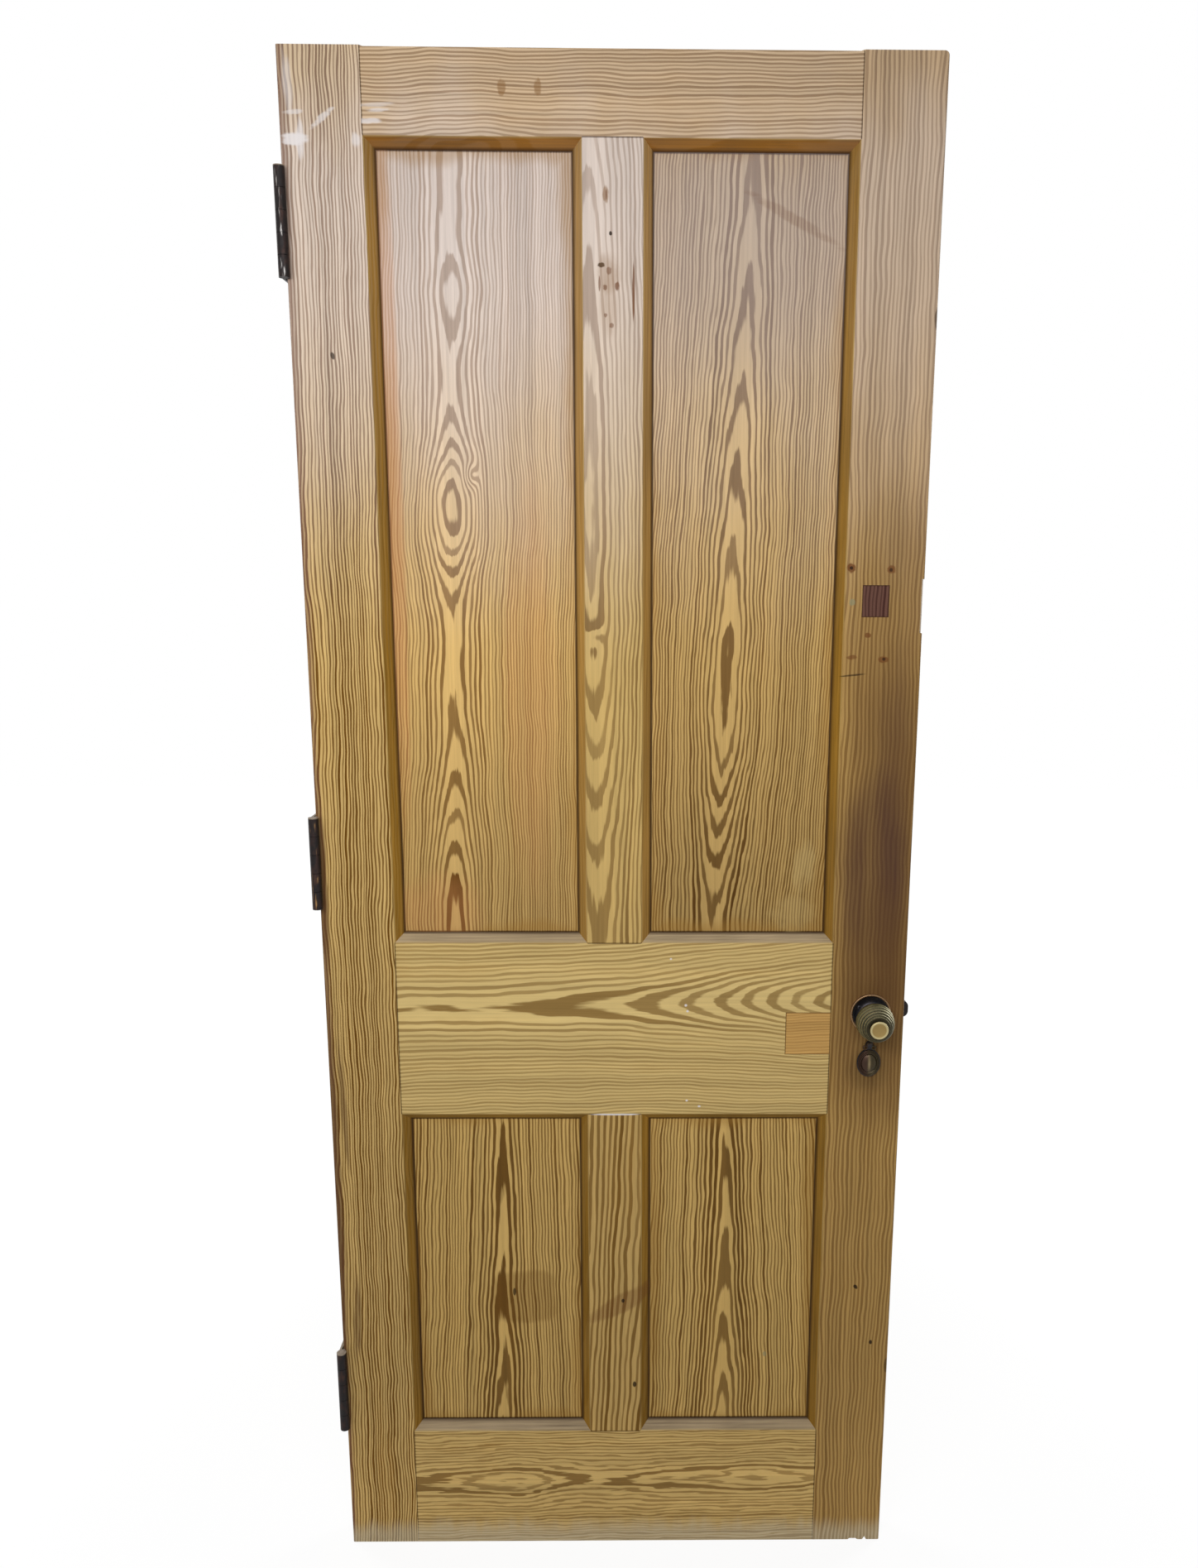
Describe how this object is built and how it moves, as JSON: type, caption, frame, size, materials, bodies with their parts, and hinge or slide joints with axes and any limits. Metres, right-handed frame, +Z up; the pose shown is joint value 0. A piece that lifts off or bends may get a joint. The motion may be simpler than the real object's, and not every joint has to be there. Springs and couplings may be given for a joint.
{
  "type": "panelled door leaf",
  "caption": "Panelled solid pine door leaf with chamfered mouldings, iron butt hinges, mortice lock, beehive knobs and a swinging keyhole cover; it hangs from its hinges.",
  "frame": {"origin": "middle of the leaf's bottom edge", "axes": "+X to the lock edge, -Y out of the front face, +Z up"},
  "size_m": [0.778, 0.164, 1.96],
  "materials": {
    "pine": "old waxed pitch pine, worn satin",
    "pine_panel": "old waxed pitch pine, flat-sawn figure",
    "pine_patch": "orange-tan patch with a dark joint",
    "stained_plug": "dark stained plug",
    "hinge_iron": "dark worn iron",
    "lock_steel": "oiled dark steel",
    "dark_lock_metal": "dark rubbed lock metal",
    "aged_brass": "olive-brown aged brass",
    "dark_bronze": "blackened bronze, rubbed at the edges"
  },
  "bodies": {
    "frame_leaves": {"top_hinge_frame_leaf": "hinge_iron", "middle_hinge_frame_leaf": "hinge_iron", "bottom_hinge_frame_leaf": "hinge_iron", "top_hinge_pin": "hinge_iron", "middle_hinge_pin": "hinge_iron", "bottom_hinge_pin": "hinge_iron"},
    "door": {"hinge_stile": "pine", "lock_stile": "pine", "top_rail": "pine", "lock_rail": "pine", "bottom_rail": "pine", "upper_muntin": "pine", "lower_muntin": "pine", "upper_left_panel": "pine_panel", "upper_right_panel": "pine_panel", "lower_left_panel": "pine_panel", "lower_right_panel": "pine_panel", "tenon_wedges": "pine_panel", "rail_patch": "pine_patch", "stile_plug": "stained_plug", "top_hinge_door_leaf": "hinge_iron", "middle_hinge_door_leaf": "hinge_iron", "bottom_hinge_door_leaf": "hinge_iron", "hinge_screws": "hinge_iron", "lock_case": "lock_steel", "lock_cap": "lock_steel", "cap_screws": "lock_steel", "lock_forend": "dark_lock_metal", "forend_screws": "dark_lock_metal", "latch_spring": "lock_steel", "front_rose": "dark_bronze", "back_rose": "dark_bronze", "rose_screws": "dark_bronze", "front_escutcheon": "dark_bronze", "back_escutcheon": "dark_bronze", "escutcheon_pins": "dark_bronze", "cover_pin": "dark_bronze"},
    "knob_set": {"front_knob": "aged_brass", "back_knob": "aged_brass", "spindle": "lock_steel", "follower": "aged_brass", "knob_grub_screws": "lock_steel"},
    "latch": {"latch_bolt": "dark_lock_metal"},
    "bolt": {"dead_bolt": "lock_steel"},
    "cover": {"keyhole_cover": "dark_bronze"}
  },
  "joints": [
    {"name": "door_swing", "type": "hinge", "parent": "frame_leaves", "child": "door", "pos_m": [-0.382, -0.027, 1.0125], "axis": [0, 0, -1], "range_deg": [0, 180]},
    {"name": "knob_turn", "type": "hinge", "parent": "door", "child": "knob_set", "pos_m": [0.3365, 0, 0.8085], "axis": [0, -1, 0], "range_deg": [0, 40], "stiffness_Nm_per_rad": 0.3, "springref_deg": -17.19},
    {"name": "latch_slide", "type": "slide", "parent": "door", "child": "latch", "axis": [-1, 0, 0], "range_m": [0, 0.01], "deforming": ["latch_spring"]},
    {"name": "bolt_throw", "type": "slide", "parent": "door", "child": "bolt", "axis": [1, 0, 0], "range_m": [0, 0.014]},
    {"name": "cover_swing", "type": "hinge", "parent": "door", "child": "cover", "pos_m": [0.3365, -0.0235, 0.765], "axis": [0, -1, 0], "range_deg": [-90, 90]}
  ],
  "couplings": [
    {"joint": "latch_slide", "follows": "knob_turn", "m_per_rad": 0.014322}
  ]
}
